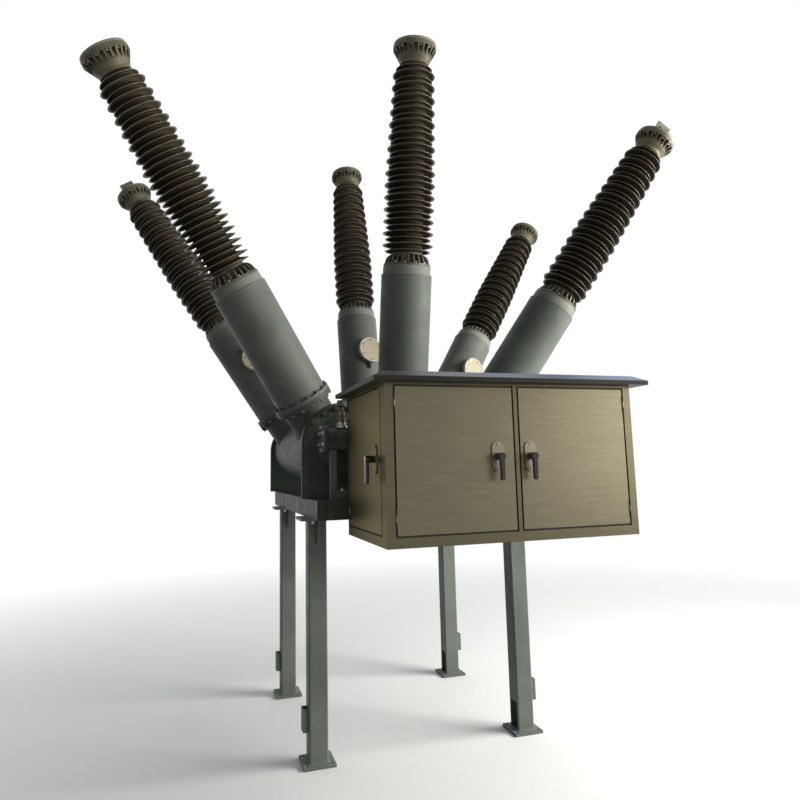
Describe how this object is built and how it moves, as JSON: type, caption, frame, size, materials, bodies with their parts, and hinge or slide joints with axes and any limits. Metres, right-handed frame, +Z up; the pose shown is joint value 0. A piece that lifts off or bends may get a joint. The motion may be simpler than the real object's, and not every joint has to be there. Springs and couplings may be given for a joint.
{
  "type": "gas insulated breaker",
  "caption": "Outdoor dead-tank gas circuit breaker: horizontal tanks with fanned pairs of brown porcelain bushings on a four-legged stand, with a stainless operating cabinet.",
  "frame": {"origin": "on the ground, at the centre of the foundation bolt pattern under the four legs", "axes": "+Z up; -Y is the front, with the cabinet; +X runs across the phases, to the right seen from the front"},
  "size_m": [3.6985, 2.8249, 4.1017],
  "materials": {
    "brown_glaze": "glossy brown glaze",
    "grey_paint": "semi-gloss grey paint",
    "cast_grey": "cast, dull",
    "cream_cover": "semi-gloss cream paint",
    "valve_metal": "dull brass",
    "handle_metal": "polished zinc casting",
    "hinge_steel": "plain steel",
    "brushed_stainless": "brushed, warm tone"
  },
  "bodies": {
    "breaker": {"bushing_caps": "cast_grey", "cabinet_back_wall": "brushed_stainless", "cabinet_floor": "brushed_stainless", "cabinet_posts": "brushed_stainless", "cabinet_rails": "brushed_stainless", "cabinet_right_wall": "brushed_stainless", "cabinet_roof": "brushed_stainless", "crank_boxes": "grey_paint", "ct_boxes": "cream_cover", "drive_posts": "grey_paint", "drive_tube": "grey_paint", "earth_pockets": "grey_paint", "foot_plates": "grey_paint", "frame_cross_beams": "grey_paint", "frame_end_beams": "grey_paint", "frame_side_beams": "grey_paint", "front_ct_housings": "grey_paint", "front_porcelains": "brown_glaze", "gas_valve": "valve_metal", "hinge_pins": "hinge_steel", "leg_front_left": "grey_paint", "leg_front_right": "grey_paint", "leg_heads": "grey_paint", "leg_rear_left": "grey_paint", "leg_rear_right": "grey_paint", "lower_fittings": "cast_grey", "rear_ct_housings": "grey_paint", "rear_porcelains": "brown_glaze", "tank_centre": "grey_paint", "tank_front_covers": "grey_paint", "tank_front_supports": "grey_paint", "tank_left": "grey_paint", "tank_nozzles": "grey_paint", "tank_rear_covers": "grey_paint", "tank_rear_supports": "grey_paint", "tank_right": "grey_paint", "terminal_pads": "cast_grey"},
    "front_left_door": {"front_left_door": "brushed_stainless", "front_left_handle_plate": "handle_metal"},
    "front_right_door": {"front_right_door": "brushed_stainless", "front_right_handle_plate": "handle_metal"},
    "side_door": {"side_door": "brushed_stainless", "side_handle_plate": "handle_metal"},
    "front_left_handle": {"front_left_handle": "handle_metal"},
    "front_right_handle": {"front_right_handle": "handle_metal"},
    "side_handle": {"side_handle": "handle_metal"}
  },
  "joints": [
    {"name": "front_left_door_hinge", "type": "hinge", "parent": "breaker", "child": "front_left_door", "pos_m": [-0.448, -1.536, 1.5495], "axis": [0, 0, -1], "range_deg": [0, 110]},
    {"name": "front_right_door_hinge", "type": "hinge", "parent": "breaker", "child": "front_right_door", "pos_m": [0.688, -1.536, 1.5495], "axis": [0, 0, 1], "range_deg": [0, 110]},
    {"name": "side_door_hinge", "type": "hinge", "parent": "breaker", "child": "side_door", "pos_m": [-0.492, -0.891, 1.5495], "axis": [0, 0, -1], "range_deg": [0, 100]},
    {"name": "front_left_handle_turn", "type": "hinge", "parent": "front_left_door", "child": "front_left_handle", "pos_m": [0.023, -1.534, 1.557], "axis": [0, 1, 0], "range_deg": [0, 90]},
    {"name": "front_right_handle_turn", "type": "hinge", "parent": "front_right_door", "child": "front_right_handle", "pos_m": [0.183, -1.534, 1.557], "axis": [0, -1, 0], "range_deg": [0, 90]},
    {"name": "side_handle_turn", "type": "hinge", "parent": "side_door", "child": "side_handle", "pos_m": [-0.49, -1.38, 1.557], "axis": [1, 0, 0], "range_deg": [0, 90]}
  ]
}
